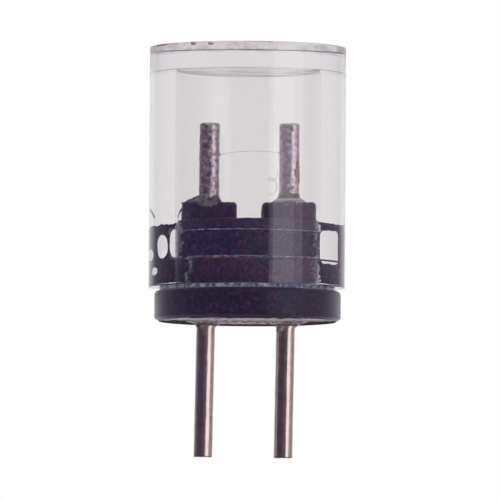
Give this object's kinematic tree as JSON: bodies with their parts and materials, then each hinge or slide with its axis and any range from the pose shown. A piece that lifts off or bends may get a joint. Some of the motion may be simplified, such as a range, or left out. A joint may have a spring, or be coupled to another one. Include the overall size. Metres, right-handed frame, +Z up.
{
  "type": "radial fuse",
  "caption": "Small plug-in fuse: clear cylindrical cap on a round black base, with two straight round leads below and a hair-thin wire between their tips.",
  "frame": {"origin": "on the seating plane under the base's flange, midway between the two leads", "axes": "+Z up from the leads to the cap, along the cap's axis; X runs from the left lead to the right lead"},
  "size_m": [0.0062, 0.0062, 0.013],
  "materials": {
    "clear_plastic": "clear, glossy, moulded",
    "black_plastic": "satin, moulded",
    "black_cement": "glossy where it wets the cap",
    "lead_metal": "drawn and tinned, slightly tarnished",
    "clear_seal": "glassy resin",
    "pale_resin": "dull, cast",
    "wire_metal": "fine drawn wire",
    "joint_metal": "dull, browned by flux"
  },
  "bodies": {
    "root": {"cap": "clear_plastic", "base": "black_plastic", "cap_cement": "black_cement", "lead_left": "lead_metal", "lead_right": "lead_metal", "lead_seal_left": "clear_seal", "lead_seal_right": "clear_seal", "underside_resin": "pale_resin", "fuse_wire": "wire_metal", "wire_joint_left": "joint_metal", "wire_joint_right": "joint_metal"}
  },
  "joints": []
}
